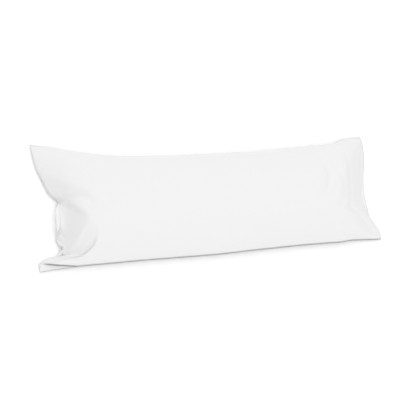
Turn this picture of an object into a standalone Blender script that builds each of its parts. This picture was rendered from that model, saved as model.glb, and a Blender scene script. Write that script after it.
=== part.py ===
"""Long body pillow lying on its back in a plain white case, open at its left end.

Metres, +Z up. X runs along the pillow with the case's mouth at -X. Y runs across it.
The pillow is one filled solid: a front panel and a back panel are cut as flat grids,
shaped as the filling holds them, and sewn along both sides and the closed end.
"""

import bmesh
import bpy
import numpy as np

# The filled shape
CROWN = 0.119
CROWN_FULLNESS = 2.5
CROWN_EDGE = 0.62
THINNER_ENDS = 0.08
LEFT_REACH = 0.25
LEFT_REACH_BEHIND = 0.36
BEHIND = (0.50, 0.90)
RIGHT_REACH = 0.27
END_FULLNESS = 2.2
END_EDGE = 0.80

# The sewn edge stands off the floor between the corners, and the back lies flat inside it
SEAM_HEIGHT = 0.030
FRONT_SEAM_HEIGHT = 0.018
FRONT_SEAM_REACH = 0.30
CORNER_HEIGHT = 0.009
CORNER_REACH = 0.20
MOUTH_REACH = 0.12
MOUTH_FULLNESS = 1.6
BACK_REACH = 0.075

# Shares of the crown by which folds, the ledge and the crown itself have their full height
FULL_FOLDS_FROM = 0.17
FULL_LEDGE_FROM = 0.08
FREE_OF_SEAM_FROM = 0.025
FREE_OF_HEM_FROM = 0.005
LEAST_ABOVE_SEAM = 0.001

# The case's mouth: two hems with a slot between them
HEM_THICKNESS = 0.0035
MOUTH_GAP = 0.005
MOUTH_DEPTH = 0.030
MOUTH_END_MARGIN = 0.012
HEM_TAPER = 0.08
MOUTH_SQUARENESS = 8

# How far the back hem shows past the front one, and where: share of the width and half width
BACK_HEM_SHOWS = 0.007
BACK_HEM_PLACE = (0.62, 0.12)

# Slit from its bottom to its lip: share of its depth, share of its gap that it is open
SLIT = (
    (1.00, 0.0),
    (0.60, 0.9),
    (0.07, 1.0),
)

# How far the curve of each end is felt along the length
LEFT_CURVE_REACH = 0.36
RIGHT_CURVE_REACH = 0.30

# Corners on the floor plan: x of the front and the back corner at each end
LEFT_CORNERS_X = (-0.748, -0.744)
RIGHT_CORNERS_X = (0.757, 0.745)

# Long sides. Columns: share of the length, y of the front side, y of the back side
SIDES = (
    (0.00, -0.268, 0.258),
    (0.04, -0.262, 0.249),
    (0.10, -0.259, 0.224),
    (0.17, -0.258, 0.202),
    (0.27, -0.2560, 0.187),
    (0.45, -0.2555, 0.184),
    (0.62, -0.248, 0.188),
    (0.78, -0.243, 0.202),
    (0.86, -0.243, 0.209),
    (0.90, -0.238, 0.216),
    (0.95, -0.239, 0.240),
    (1.00, -0.240, 0.246),
)

# Hem of the mouth. Columns: share of the width from the front, x
HEM = (
    (0.000, -0.748),
    (0.063, -0.742),
    (0.086, -0.727),
    (0.100, -0.709),
    (0.114, -0.676),
    (0.128, -0.669),
    (0.153, -0.665),
    (0.172, -0.655),
    (0.189, -0.658),
    (0.225, -0.668),
    (0.320, -0.667),
    (0.440, -0.664),
    (0.498, -0.661),
    (0.525, -0.652),
    (0.590, -0.679),
    (0.680, -0.701),
    (0.820, -0.729),
    (1.000, -0.744),
)

# Closed end. Columns: share of the width from the front, x
CLOSED_END = (
    (0.00, 0.753),
    (0.07, 0.755),
    (0.15, 0.735),
    (0.24, 0.712),
    (0.40, 0.703),
    (0.57, 0.713),
    (0.72, 0.734),
    (0.87, 0.751),
    (0.97, 0.755),
    (1.00, 0.745),
)

# Past the filling the loose cloth falls in two flat facets to a rolled hem.
# A place on the crease between the facets and its height, and the slopes of each along x and y
FALL_CREASE = (-0.596, -0.158, 0.079)
STEEP_SLOPES = (1.04, 0.20)
SOFT_SLOPES = (0.62, 0.50)
FACET_CORNER = 0.005
SHOULDER_CORNER = 0.008
# The fall ends at a line from the pinch to the shoulder, and at a round fold below
FALL_LINE = (-0.662, 0.012, -0.556, -0.085)
FALL_LINE_EDGE = 0.020
FALL_CENTRE = (-0.645, -0.150)
FALL_RADII = (0.121, 0.091)
FALL_EDGE = 0.12
FALL_RIM = 0.007
FALL_RIM_WIDTH = 0.07
RIM_BELOW = (0.15, 0.55)
RIM_RIGHT_OF = (-0.9, -0.1)

# Flat crest of the rolled hem: from and to y, distance from the mouth, half width, height
ROLL = (-0.014, -0.140, 0.013, 0.015, 0.048)
ROLL_FLATNESS = 6
ROLL_DROP = 0.024
ROLL_END_SLOPE = 2.0

# The closed end falls as one taut facet from this place, and it fades to the front corner
END_CREASE = (0.586, -0.060, 0.110)
END_SLOPES = (-0.70, 0.14)
END_FADE = 0.10

# The front left corner, where the under layer shows beyond the upper one
LEDGE_WIDTH = 0.026
LEDGE_LENGTH = 0.150
LEDGE_STEP = 0.009
LEDGE_RISE = 0.006
LEDGE_FADE = 0.045
LEDGE_FULL_FROM = 0.25

# Folds, on the floor plan. Columns: x and y of one end, x and y of the other,
# half width, height (a valley is below zero)
FOLDS = {
    "trough by the hem": (-0.706, 0.090, -0.640, 0.038, 0.018, -0.010),
    "trough on the body": (-0.640, 0.038, -0.545, -0.018, 0.017, -0.009),
    "pinch": (-0.668, 0.006, -0.630, -0.004, 0.008, -0.014),
    "drag to the front corner": (-0.720, -0.240, -0.600, -0.226, 0.014, 0.009),
    "first fold of the right end": (0.502, 0.060, 0.487, -0.005, 0.017, -0.009),
    "second fold of the right end": (0.555, 0.020, 0.546, -0.035, 0.011, -0.006),
    "third fold of the right end": (0.610, 0.100, 0.578, -0.065, 0.013, -0.010),
    "drag to the right corner": (0.560, -0.095, 0.690, -0.185, 0.018, -0.009),
    "ridge to the right corner": (0.545, -0.150, 0.690, -0.222, 0.018, 0.006),
    "sag above the front seam": (0.490, -0.205, 0.560, -0.218, 0.014, -0.006),
}

# Creases inside the fall and by the hem
FALL_CREASES = {
    "crumple on the hem": (-0.674, -0.148, -0.642, -0.189, 0.009, 0.009),
    "crumple by the corner": (-0.668, -0.204, -0.648, -0.224, 0.009, 0.009),
}
SHARPNESS_OF_FOLD_ENDS = 2.5
FOLD_END_WIDTHS = 2.0

# Cells of the panels. Columns: where the stretch ends, metres, and how many cells it has
COLUMN_STRETCHES = ((0.28, 32), (1.20, 22), (1.49, 20))
ROW_STRETCHES = ((0.024, 4), (0.31, 24), (0.44, 6), (0.51, 7))

WELD = 0.00001
CASE_COLOUR = (0.86, 0.86, 0.86, 1.0)
CASE_ROUGHNESS = 0.85


def smooth_along(rows, column, at):
    """One column of a table at each place of its first column, without overshoot."""
    knots = np.array([row[0] for row in rows])
    values = np.array([row[column] for row in rows])
    steps = np.diff(knots)
    slopes = np.diff(values) / steps
    tangents = np.empty_like(values)
    tangents[0] = slopes[0]
    tangents[-1] = slopes[-1]
    before = slopes[:-1]
    after = slopes[1:]
    same_way = before * after > 0.0
    both = np.where(same_way, before + after, 1.0)
    tangents[1:-1] = np.where(same_way, 2.0 * before * after / both, 0.0)
    cell = np.clip(np.searchsorted(knots, at) - 1, 0, len(steps) - 1)
    width = steps[cell]
    t = np.clip((at - knots[cell]) / width, 0.0, 1.0)
    from_left = (1 + 2 * t) * (1 - t) ** 2 * values[cell] + t * (1 - t) ** 2 * width * tangents[cell]
    from_right = t * t * (3 - 2 * t) * values[cell + 1] - t * t * (1 - t) * width * tangents[cell + 1]
    return from_left + from_right


def ease(t):
    """Smooth step from 0 to 1."""
    t = np.clip(t, 0.0, 1.0)
    return t * t * (3.0 - 2.0 * t)


def fade_in(span, at):
    """From 0 at the first value of a span to 1 at its second."""
    return ease((at - span[0]) / (span[1] - span[0]))


def rounded(t, fullness, edge):
    """A rounded rise from 0 at t = 0 to 1 at t = 1."""
    return (1.0 - (1.0 - np.clip(t, 0.0, 1.0)) ** fullness) ** edge


def bump(t):
    """A smooth hill of height 1 at t = 0, about 1 wide each way."""
    return np.exp(-(t**2))


def floor_plan(along, across):
    """x and y of a point of the panels, along and across being shares of the case."""
    front_y = smooth_along(SIDES, 1, along)
    back_y = smooth_along(SIDES, 2, along)
    y = front_y + (back_y - front_y) * across
    left = LEFT_CORNERS_X[0] + (LEFT_CORNERS_X[1] - LEFT_CORNERS_X[0]) * across
    right = RIGHT_CORNERS_X[0] + (RIGHT_CORNERS_X[1] - RIGHT_CORNERS_X[0]) * across
    length = right - left
    x = left + length * along
    near_left = np.clip(1.0 - along * length / LEFT_CURVE_REACH, 0.0, 1.0) ** 2
    near_right = np.clip(1.0 - (1.0 - along) * length / RIGHT_CURVE_REACH, 0.0, 1.0) ** 2
    x = x + near_left * (smooth_along(HEM, 1, across) - left)
    x = x + near_right * (smooth_along(CLOSED_END, 1, across) - right)
    return x, y, length


def side_to_side(along):
    """Width of the filled case at a share of its length."""
    return smooth_along(SIDES, 2, along) - smooth_along(SIDES, 1, along)


def seam_height(from_mouth, from_end, from_side, across):
    """Height of the sewn edge, carried across the inside of the panels."""
    off_end = ease(np.minimum(from_mouth, from_end) / CORNER_REACH)
    off_side = ease(from_side / CORNER_REACH)
    off_floor = rounded(from_mouth / MOUTH_REACH, MOUTH_FULLNESS, 1.0)
    lift = (1.0 - (1.0 - off_end) * (1.0 - off_side)) * off_floor
    here = FRONT_SEAM_HEIGHT + (SEAM_HEIGHT - FRONT_SEAM_HEIGHT) * ease(across / FRONT_SEAM_REACH)
    return CORNER_HEIGHT + (here - CORNER_HEIGHT) * lift


def fold_height(x, y, folds):
    """Height added by folds. Each is a straight ridge or valley with soft ends."""
    total = np.zeros_like(x)
    for x0, y0, x1, y1, half_width, height in folds.values():
        run = np.hypot(x1 - x0, y1 - y0)
        ux, uy = (x1 - x0) / run, (y1 - y0) / run
        on_line = (x - x0) * ux + (y - y0) * uy
        off_line = (y - y0) * ux - (x - x0) * uy
        past_end = np.maximum(np.maximum(-on_line, on_line - run), 0.0)
        fade = bump(SHARPNESS_OF_FOLD_ENDS * past_end / run) * bump(past_end / half_width / FOLD_END_WIDTHS)
        total += height * fade * bump(off_line / half_width)
    return total


def lower_of(a, b, corner):
    """The lower of two heights, with a corner rounded over about this height."""
    return 0.5 * (a + b - np.sqrt((a - b) ** 2 + corner**2))


def higher_of(a, b, corner):
    """The higher of two heights, with a rounded corner."""
    return -lower_of(-a, -b, corner)


def facet(place, slopes, x, y):
    """Height of a plane of taut cloth through a place, with its slopes along x and y."""
    return place[2] + slopes[0] * (x - place[0]) + slopes[1] * (y - place[1])


def fall_extent(x, y):
    """Where the cloth falls, from 0 to 1, and the rim that stands up outside the round fold."""
    x0, y0, x1, y1 = FALL_LINE
    run = np.hypot(x1 - x0, y1 - y0)
    below_line = ((x - x0) * (y1 - y0) - (y - y0) * (x1 - x0)) / run
    dx = (x - FALL_CENTRE[0]) / FALL_RADII[0]
    dy = np.minimum(y - FALL_CENTRE[1], 0.0) / FALL_RADII[1]
    radius = np.hypot(np.maximum(dx, 0.0), dy)
    inside = ease(0.5 + below_line / FALL_LINE_EDGE) * ease(0.5 + (1.0 - radius) / FALL_EDGE)
    low_side = fade_in(RIM_BELOW, -dy) * fade_in(RIM_RIGHT_OF, dx)
    rim = FALL_RIM * low_side * bump((radius - 1.0 - FALL_RIM_WIDTH) / FALL_RIM_WIDTH)
    return inside, rim


def hem_roll(y, from_mouth):
    """Height of the rolled hem's crest, and far below the cloth away from it."""
    y_top, y_low, crest, half_width, height = ROLL
    past = np.maximum(np.maximum(y - y_top, y_low - y), 0.0)
    drop = ROLL_DROP * ((from_mouth - crest) / half_width) ** ROLL_FLATNESS
    return height - drop - ROLL_END_SLOPE * past


def ledge(from_mouth, across, width):
    """Share of the width once the upper layer starts inside the under layer, and its step up."""
    left = np.clip(1.0 - from_mouth / LEDGE_LENGTH, 0.0, 1.0)
    share = LEDGE_WIDTH * left / width
    past = (across - share) * width
    step = ease(past / LEDGE_RISE) * bump(np.maximum(past, 0.0) / LEDGE_FADE) * ease(left / LEDGE_FULL_FROM)
    return np.maximum(across - share, 0.0) / (1.0 - share), step


def front_height(along, across, x, y, length, seam):
    """Height of the front panel above the floor."""
    from_mouth = along * length
    from_end = (1.0 - along) * length
    across, step = ledge(from_mouth, across, side_to_side(along))
    crown = (1.0 - np.abs(2.0 * across - 1.0) ** CROWN_FULLNESS) ** CROWN_EDGE
    crown = crown * (1.0 - THINNER_ENDS * (2.0 * along - 1.0) ** 2)
    reach = LEFT_REACH + (LEFT_REACH_BEHIND - LEFT_REACH) * fade_in(BEHIND, across)
    left = rounded(from_mouth / reach, END_FULLNESS, END_EDGE)
    right = rounded(from_end / RIGHT_REACH, END_FULLNESS, END_EDGE)
    body = crown * left * right
    slack = ease(body / FULL_FOLDS_FROM)
    inside, rim = fall_extent(x, y)
    height = seam + CROWN * body
    taut = lower_of(height, facet(END_CREASE, END_SLOPES, x, y), SHOULDER_CORNER)
    height = height + (taut - height) * ease((y - END_CREASE[1]) / END_FADE + 1.0)
    height = height + slack * (rim + fold_height(x, y, FOLDS))
    steep = facet(FALL_CREASE, STEEP_SLOPES, x, y)
    soft = facet(FALL_CREASE, SOFT_SLOPES, x, y)
    fallen = lower_of(steep, soft, FACET_CORNER)
    fallen = fallen + fold_height(x, y, FALL_CREASES)
    fallen = lower_of(height, fallen, SHOULDER_CORNER)
    height = height + (fallen - height) * inside
    height = higher_of(height, hem_roll(y, from_mouth), FACET_CORNER)
    height = higher_of(height, seam + LEAST_ABOVE_SEAM, FACET_CORNER)
    free = ease(from_mouth / FREE_OF_HEM_FROM) * ease(body / FREE_OF_SEAM_FROM)
    step = step * ease(body / FULL_LEDGE_FROM)
    return seam + (height - seam) * free + LEDGE_STEP * step


def hem_lift(across):
    """Half the distance between the outsides of the two hems."""
    open_share = 1.0 - np.abs(2.0 * across - 1.0) ** MOUTH_SQUARENESS
    return (HEM_THICKNESS + MOUTH_GAP / 2) * open_share


def back_hem_shift(across):
    """How far the back hem shows past the front one."""
    return BACK_HEM_SHOWS * bump((across - BACK_HEM_PLACE[0]) / BACK_HEM_PLACE[1])


def panel_points(along, across, front):
    """Points of one panel, inside the sewn edge and out to the hem."""
    x, y, length = floor_plan(along, across)
    from_mouth = along * length
    from_end = (1.0 - along) * length
    from_side = np.minimum(across, 1.0 - across) * side_to_side(along)
    seam = seam_height(from_mouth, from_end, from_side, across)
    by_mouth = ease(1.0 - from_mouth / HEM_TAPER)
    if front:
        z = front_height(along, across, x, y, length, seam) + hem_lift(across) * by_mouth
    else:
        x = x - back_hem_shift(across) * by_mouth
        over_floor = ease(from_side / BACK_REACH) * ease(np.minimum(from_mouth, from_end) / BACK_REACH)
        empty = ease(from_side / BACK_REACH) * ease(1.0 - from_mouth / MOUTH_REACH)
        low = seam - (seam - CORNER_HEIGHT) * empty
        z = (low - hem_lift(across) * by_mouth) * (1.0 - over_floor)
    return np.stack((x, y, z), axis=-1)


def mouth_points(across, front):
    """Points of a hem's inner face: the bottom of the slit, its middle and its lip."""
    start = np.zeros_like(across)
    x, y, length = floor_plan(start, across)
    from_side = np.minimum(across, 1.0 - across) * side_to_side(start)
    seam = seam_height(start, length, from_side, across)
    way = 1.0 if front else -1.0
    gap = hem_lift(across) * MOUTH_GAP / (2 * HEM_THICKNESS + MOUTH_GAP)
    middle = y.mean()
    columns = []
    for share, open_share in SLIT:
        inwards = 1.0 - MOUTH_END_MARGIN * share / (y.max() - middle)
        x_here = x + MOUTH_DEPTH * share
        if not front and share == SLIT[-1][0]:
            x_here = x_here - back_hem_shift(across)
        y_here = middle + (y - middle) * inwards
        z_here = seam + way * gap * open_share
        columns.append(np.stack((x_here, y_here, z_here), axis=-1))
    return np.stack(columns)


def stretched(stretches):
    """Places from 0 to 1 with the cell count of each stretch."""
    places = [np.zeros(1)]
    start = 0.0
    for end, cells in stretches:
        places.append(np.linspace(start, end, cells + 1)[1:])
        start = end
    return np.concatenate(places) / start


def add_panel(mesh, columns, rows, front):
    """Adds one panel with its turned-in hem to the mesh as a shaped grid."""
    along, across = np.meshgrid(columns, rows, indexing="ij")
    body = panel_points(along, across, front)
    points = np.concatenate((mouth_points(rows, front), body))
    count_x, count_y = points.shape[:2]
    grid = bmesh.ops.create_grid(mesh, x_segments=count_x - 1, y_segments=count_y - 1, size=1.0)
    for vert in grid["verts"]:
        column = round((vert.co.x + 1.0) / 2.0 * (count_x - 1))
        row = round((vert.co.y + 1.0) / 2.0 * (count_y - 1))
        vert.co = points[column, row]
    return grid["verts"]


def main():
    for old in list(bpy.data.objects):
        bpy.data.objects.remove(old)
    columns = stretched(COLUMN_STRETCHES)
    rows = stretched(ROW_STRETCHES)
    mesh = bmesh.new()
    add_panel(mesh, columns, rows, front=True)
    add_panel(mesh, columns, rows, front=False)
    bmesh.ops.remove_doubles(mesh, verts=mesh.verts[:], dist=WELD)

    # The part stands on the floor with its box centred on the origin
    places = np.array([vert.co[:] for vert in mesh.verts])
    low = places.min(axis=0)
    high = places.max(axis=0)
    middle = (low + high) / 2
    shift = (-middle[0], -middle[1], -low[2])
    bmesh.ops.translate(mesh, verts=mesh.verts[:], vec=shift)

    # The resting face is exactly flat, so it is left as one face
    resting = [face for face in mesh.faces if all(abs(vert.co.z) < WELD for vert in face.verts)]
    bmesh.ops.dissolve_faces(mesh, faces=resting, use_verts=True)
    bmesh.ops.recalc_face_normals(mesh, faces=mesh.faces[:])

    data = bpy.data.meshes.new("pillow")
    mesh.to_mesh(data)
    mesh.free()
    cloth = bpy.data.materials.new("white_cotton")
    cloth.use_nodes = True
    shader = cloth.node_tree.nodes["Principled BSDF"]
    shader.inputs["Base Color"].default_value = CASE_COLOUR
    shader.inputs["Roughness"].default_value = CASE_ROUGHNESS
    shader.inputs["Metallic"].default_value = 0.0
    cloth.diffuse_color = CASE_COLOUR
    data.materials.append(cloth)
    pillow = bpy.data.objects.new("pillow", data)
    collection = bpy.data.collections.new("body_pillow")
    bpy.context.scene.collection.children.link(collection)
    collection.objects.link(pillow)
    print("shift", [round(value, 5) for value in shift], "resting faces", len(resting))


main()
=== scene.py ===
# %% [markdown]
# # A long body pillow in a plain cotton case
#
# The real thing is a fibre-filled pillow of 20 by 60 inches inside a white case. A maker cuts two
# panels of cotton, sews them along both long sides and one short end, and hems the end that stays
# open. Filled, the flat bag becomes a crowned cushion: its sides draw in between the corners, the
# corners stay as flat points, and the empty cloth past the filling sags and creases at the mouth.
#
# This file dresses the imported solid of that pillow. The solid gives the size and the place. Here
# the same shape is worked out again on a much finer grid, relaxed as cloth, creased, hemmed,
# stitched and given a woven finish.

import bmesh
import bpy
import numpy as np
from mathutils import Matrix, Vector


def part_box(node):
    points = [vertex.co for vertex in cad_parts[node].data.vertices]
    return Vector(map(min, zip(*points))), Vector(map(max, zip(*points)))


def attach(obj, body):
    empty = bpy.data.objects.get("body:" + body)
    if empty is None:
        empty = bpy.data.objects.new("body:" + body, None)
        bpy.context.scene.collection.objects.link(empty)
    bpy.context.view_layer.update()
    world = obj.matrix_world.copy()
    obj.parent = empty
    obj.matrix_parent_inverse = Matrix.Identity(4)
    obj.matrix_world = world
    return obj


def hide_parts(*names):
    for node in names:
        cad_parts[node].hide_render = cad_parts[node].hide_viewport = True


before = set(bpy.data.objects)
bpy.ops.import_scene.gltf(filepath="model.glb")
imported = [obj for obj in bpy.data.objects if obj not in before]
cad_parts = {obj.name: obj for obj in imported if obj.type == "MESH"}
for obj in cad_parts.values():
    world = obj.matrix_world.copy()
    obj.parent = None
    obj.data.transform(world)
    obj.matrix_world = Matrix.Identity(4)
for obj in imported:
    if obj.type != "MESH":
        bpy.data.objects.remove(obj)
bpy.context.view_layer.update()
pillow_low, pillow_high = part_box("pillow")
print("nodes", sorted(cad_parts), "box", [round(v, 4) for v in (*pillow_low, *pillow_high)])

# %% [markdown]
# ## The cut and the filled shape
#
# Lengths are metres. The cut is the flat bag before it is filled. The outline tables say where the
# sewn edge and the hem lie on the floor plan once it is filled, as a few places along each side,
# and a smooth curve joins them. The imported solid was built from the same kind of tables. Some
# places by the mouth and the closed end differ a little here, where a fine grid can carry more.

# %% Cut sizes and outline of the filled case
CUT_LENGTH = 1.524
CUT_WIDTH = 0.508

LEFT_CORNERS_X = (-0.748, -0.744)
RIGHT_CORNERS_X = (0.757, 0.745)

# Share of the length, y of the front side, y of the back side
SIDES = (
    (0.00, -0.268, 0.258),
    (0.04, -0.262, 0.249),
    (0.10, -0.259, 0.224),
    (0.17, -0.258, 0.202),
    (0.27, -0.2560, 0.187),
    (0.45, -0.2555, 0.184),
    (0.62, -0.248, 0.188),
    (0.78, -0.243, 0.202),
    (0.86, -0.243, 0.209),
    (0.90, -0.238, 0.216),
    (0.95, -0.239, 0.240),
    (1.00, -0.240, 0.246),
)

# Share of the width from the front, x of the hem
HEM = (
    (0.000, -0.748),
    (0.063, -0.742),
    (0.086, -0.727),
    (0.100, -0.709),
    (0.114, -0.676),
    (0.128, -0.668),
    (0.150, -0.660),
    (0.168, -0.654),
    (0.189, -0.664),
    (0.225, -0.673),
    (0.290, -0.671),
    (0.335, -0.664),
    (0.440, -0.661),
    (0.498, -0.661),
    (0.525, -0.652),
    (0.590, -0.679),
    (0.680, -0.701),
    (0.820, -0.729),
    (1.000, -0.744),
)

# Share of the width from the front, x of the closed end
CLOSED_END = (
    (0.00, 0.753),
    (0.07, 0.755),
    (0.15, 0.735),
    (0.24, 0.712),
    (0.40, 0.703),
    (0.57, 0.713),
    (0.72, 0.734),
    (0.87, 0.751),
    (0.97, 0.755),
    (1.00, 0.745),
)
LEFT_CURVE_REACH = 0.36
RIGHT_CURVE_REACH = 0.30

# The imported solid's box is centred on the origin, so the plan moves over to it
PLAN_SHIFT = Vector((pillow_low.x - LEFT_CORNERS_X[0], pillow_low.y - SIDES[0][1], 0.0))
print("plan shift", [round(v, 4) for v in PLAN_SHIFT])

# %% Helpers for smooth curves
def smooth_along(rows, column, at):
    """One column of a table at each place of its first column, without overshoot."""
    knots = np.array([row[0] for row in rows])
    values = np.array([row[column] for row in rows])
    steps = np.diff(knots)
    slopes = np.diff(values) / steps
    tangents = np.empty_like(values)
    tangents[0] = slopes[0]
    tangents[-1] = slopes[-1]
    before = slopes[:-1]
    after = slopes[1:]
    same_way = before * after > 0.0
    both = np.where(same_way, before + after, 1.0)
    tangents[1:-1] = np.where(same_way, 2.0 * before * after / both, 0.0)
    cell = np.clip(np.searchsorted(knots, at) - 1, 0, len(steps) - 1)
    width = steps[cell]
    t = np.clip((at - knots[cell]) / width, 0.0, 1.0)
    from_left = (1 + 2 * t) * (1 - t) ** 2 * values[cell]
    from_left = from_left + t * (1 - t) ** 2 * width * tangents[cell]
    from_right = t * t * (3 - 2 * t) * values[cell + 1]
    from_right = from_right - t * t * (1 - t) * width * tangents[cell + 1]
    return from_left + from_right


def ease(t):
    """Smooth step from 0 to 1."""
    t = np.clip(t, 0.0, 1.0)
    return t * t * (3.0 - 2.0 * t)


def fade_in(span, at):
    """From 0 at the first value of a span to 1 at its second."""
    return ease((at - span[0]) / (span[1] - span[0]))


def rounded(t, fullness, edge):
    """A rounded rise from 0 at t = 0 to 1 at t = 1."""
    return (1.0 - (1.0 - np.clip(t, 0.0, 1.0)) ** fullness) ** edge


def bump(t):
    """A smooth hill of height 1 at t = 0, about 1 wide each way."""
    return np.exp(-(t**2))


# %% Floor plan of the panels
def floor_plan(along, across):
    """x and y of a point of the panels, along and across being shares of the case."""
    front_y = smooth_along(SIDES, 1, along)
    back_y = smooth_along(SIDES, 2, along)
    y = front_y + (back_y - front_y) * across
    left = LEFT_CORNERS_X[0] + (LEFT_CORNERS_X[1] - LEFT_CORNERS_X[0]) * across
    right = RIGHT_CORNERS_X[0] + (RIGHT_CORNERS_X[1] - RIGHT_CORNERS_X[0]) * across
    length = right - left
    x = left + length * along
    near_left = np.clip(1.0 - along * length / LEFT_CURVE_REACH, 0.0, 1.0) ** 2
    near_right = np.clip(1.0 - (1.0 - along) * length / RIGHT_CURVE_REACH, 0.0, 1.0) ** 2
    x = x + near_left * (smooth_along(HEM, 1, across) - left)
    x = x + near_right * (smooth_along(CLOSED_END, 1, across) - right)
    return x, y, length


def side_to_side(along):
    """Width of the filled case at a share of its length."""
    return smooth_along(SIDES, 2, along) - smooth_along(SIDES, 1, along)


# %% [markdown]
# ## Crown, hollow and folds
#
# The crown is the product of a full, round-shouldered section across the pillow and a softer rise
# from each end. Past the filling, by the mouth, the loose cloth falls off the filling's shoulder in
# two flat facets, as stiff cotton does, with a crisp fold under the lower one and a rolled hem at
# its foot. Each facet is a plane, and the surface takes the lower of the body and the planes with a
# soft corner. The folds are slightly bent ridges and valleys with soft ends, one row each, so any
# of them can be moved by hand. A sculpted mesh would do as well, but tables are easy to read and to
# change.

# %% Values of the crown and the sewn edge
CROWN = 0.119
CROWN_FULLNESS = 2.5
CROWN_EDGE = 0.62
THINNER_ENDS = 0.08
LEFT_REACH = 0.25
LEFT_REACH_BEHIND = 0.40
BEHIND = (0.50, 0.90)
RIGHT_REACH = 0.27
END_FULLNESS = 2.2
END_EDGE = 0.80

SEAM_HEIGHT = 0.030
FRONT_SEAM_HEIGHT = 0.018
FRONT_SEAM_REACH = 0.30
CORNER_HEIGHT = 0.009
CORNER_REACH = 0.20
MOUTH_REACH = 0.12
MOUTH_FULLNESS = 1.6
BACK_REACH = 0.075

# Shares of the crown by which folds, the ledge and the crown itself have their full height, then
# the distance from the mouth by which they do, and the least height above the sewn edge
FULL_FOLDS_FROM = 0.17
FULL_LEDGE_FROM = 0.08
FREE_OF_SEAM_FROM = 0.025
FREE_OF_HEM_FROM = 0.005
LEAST_ABOVE_SEAM = 0.001

# %% Values of the fall of loose cloth by the mouth
# A place on the crease between the facets and its height, and the slopes of each along x and y
FALL_CREASE = (-0.596, -0.158, 0.079)
STEEP_SLOPES = (1.12, 0.14)
SOFT_SLOPES = (0.62, 0.56)
FACET_CORNER = 0.005
SHOULDER_CORNER = 0.008
# The fall ends at a line from the pinch to the shoulder, and at a round fold below
FALL_LINE = (-0.662, 0.012, -0.556, -0.085)
FALL_LINE_EDGE = 0.020
FALL_CENTRE = (-0.610, -0.150)
FALL_RADII = (0.082, 0.083)
FALL_NARROWS = 0.6
FALL_ROUNDNESS = 1.8
FALL_EDGE = 0.035
FALL_STEP = 0.004
FALL_WALL = 1.0
FALL_GROOVE = 0.007
FALL_GROOVE_WIDTH = 0.045
FALL_RIM = 0.007
FALL_RIM_WIDTH = 0.07
RIM_BELOW = (0.15, 0.55)
RIM_RIGHT_OF = (-0.650, -0.600)

# Rolled hem: from and to y, distance of its inner edge from the mouth, height, and how it falls
ROLL = (-0.014, -0.128, 0.035, 0.048)
ROLL_NARROWS = (-0.130, -0.090)
ROLL_NARROW_END = 0.011
ROLL_FLATNESS = 4
ROLL_CUT_OFF = 2.0
ROLL_DROP = 0.024
ROLL_END_SLOPE = 2.0

# How far the hem leans out over its own edge. Share of the width from the front, distance
HEM_LEAN = (
    (0.000, 0.000),
    (0.168, 0.000),
    (0.200, 0.004),
    (0.295, 0.004),
    (0.335, 0.014),
    (0.455, 0.014),
    (0.495, 0.000),
    (1.000, 0.000),
)
LEAN_RISE = 0.007
LEAN_REACH = 0.070

# The closed end falls as one taut facet from this place, and it fades towards the front corner
END_CREASE = (0.580, -0.060, 0.116)
END_SLOPES = (-0.79, 0.14)
END_FADE = 0.10

# At the front corner the upper layer starts inside the under layer and stands a little over it
LEDGE_WIDTH = 0.034
LEDGE_LENGTH = 0.150
LEDGE_STEP = 0.013
LEDGE_RISE = 0.006
LEDGE_FADE = 0.020
LEDGE_FULL_FROM = 0.60
LEDGE_OVERHANG = 0.012

# %% Folds
# x and y of one end, x and y of the other, half width, height
FOLDS = {
    "trough by the hem": (-0.706, 0.090, -0.640, 0.038, 0.018, -0.010),
    "trough on the body": (-0.640, 0.038, -0.545, -0.018, 0.017, -0.009),
    "pinch": (-0.668, 0.006, -0.630, -0.004, 0.008, -0.014),
    "drag to the front corner": (-0.720, -0.240, -0.600, -0.226, 0.014, 0.009),
    "first fold of the right end": (0.508, 0.080, 0.490, -0.026, 0.027, -0.016),
    "second fold of the right end": (0.566, 0.030, 0.552, -0.075, 0.020, -0.008),
    "third fold of the right end": (0.621, 0.120, 0.592, -0.090, 0.014, -0.005),
    "drag to the right corner": (0.560, -0.095, 0.690, -0.185, 0.022, -0.011),
    "ridge to the right corner": (0.545, -0.150, 0.690, -0.222, 0.018, 0.006),
    "sag above the front seam": (0.490, -0.205, 0.560, -0.218, 0.014, -0.006),
}

# Creases inside the fall and by the hem
FALL_CREASES = {
    "fold line under the pinch": (-0.656, 0.004, -0.590, -0.050, 0.007, -0.012),
    "line between the facets": (-0.570, -0.118, -0.626, -0.187, 0.008, 0.003),
    "valley over the second roll": (-0.674, -0.127, -0.646, -0.136, 0.004, -0.007),
}

# Small rolls of the hem below the large one: x and y of both ends, half width, height of the crest
SMALL_ROLLS = {
    "second roll of the hem": (-0.675, -0.143, -0.650, -0.178, 0.008, 0.029),
    "third roll of the hem": (-0.652, -0.200, -0.654, -0.210, 0.006, 0.018),
}
SHARPNESS_OF_FOLD_ENDS = 2.5
FOLD_BEND = 0.5
FOLD_TAPER = 0.35
FOLD_END_WIDTHS = 2.0
FOLD_BENDS_TO = 1.5
FAR_BELOW = -1.0

# %% Heights
def seam_height(from_mouth, from_end, from_side, across):
    """Height of the sewn edge, carried across the inside of the panels."""
    off_end = ease(np.minimum(from_mouth, from_end) / CORNER_REACH)
    off_side = ease(from_side / CORNER_REACH)
    off_floor = rounded(from_mouth / MOUTH_REACH, MOUTH_FULLNESS, 1.0)
    lift = (1.0 - (1.0 - off_end) * (1.0 - off_side)) * off_floor
    here = FRONT_SEAM_HEIGHT + (SEAM_HEIGHT - FRONT_SEAM_HEIGHT) * ease(across / FRONT_SEAM_REACH)
    return CORNER_HEIGHT + (here - CORNER_HEIGHT) * lift


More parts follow.
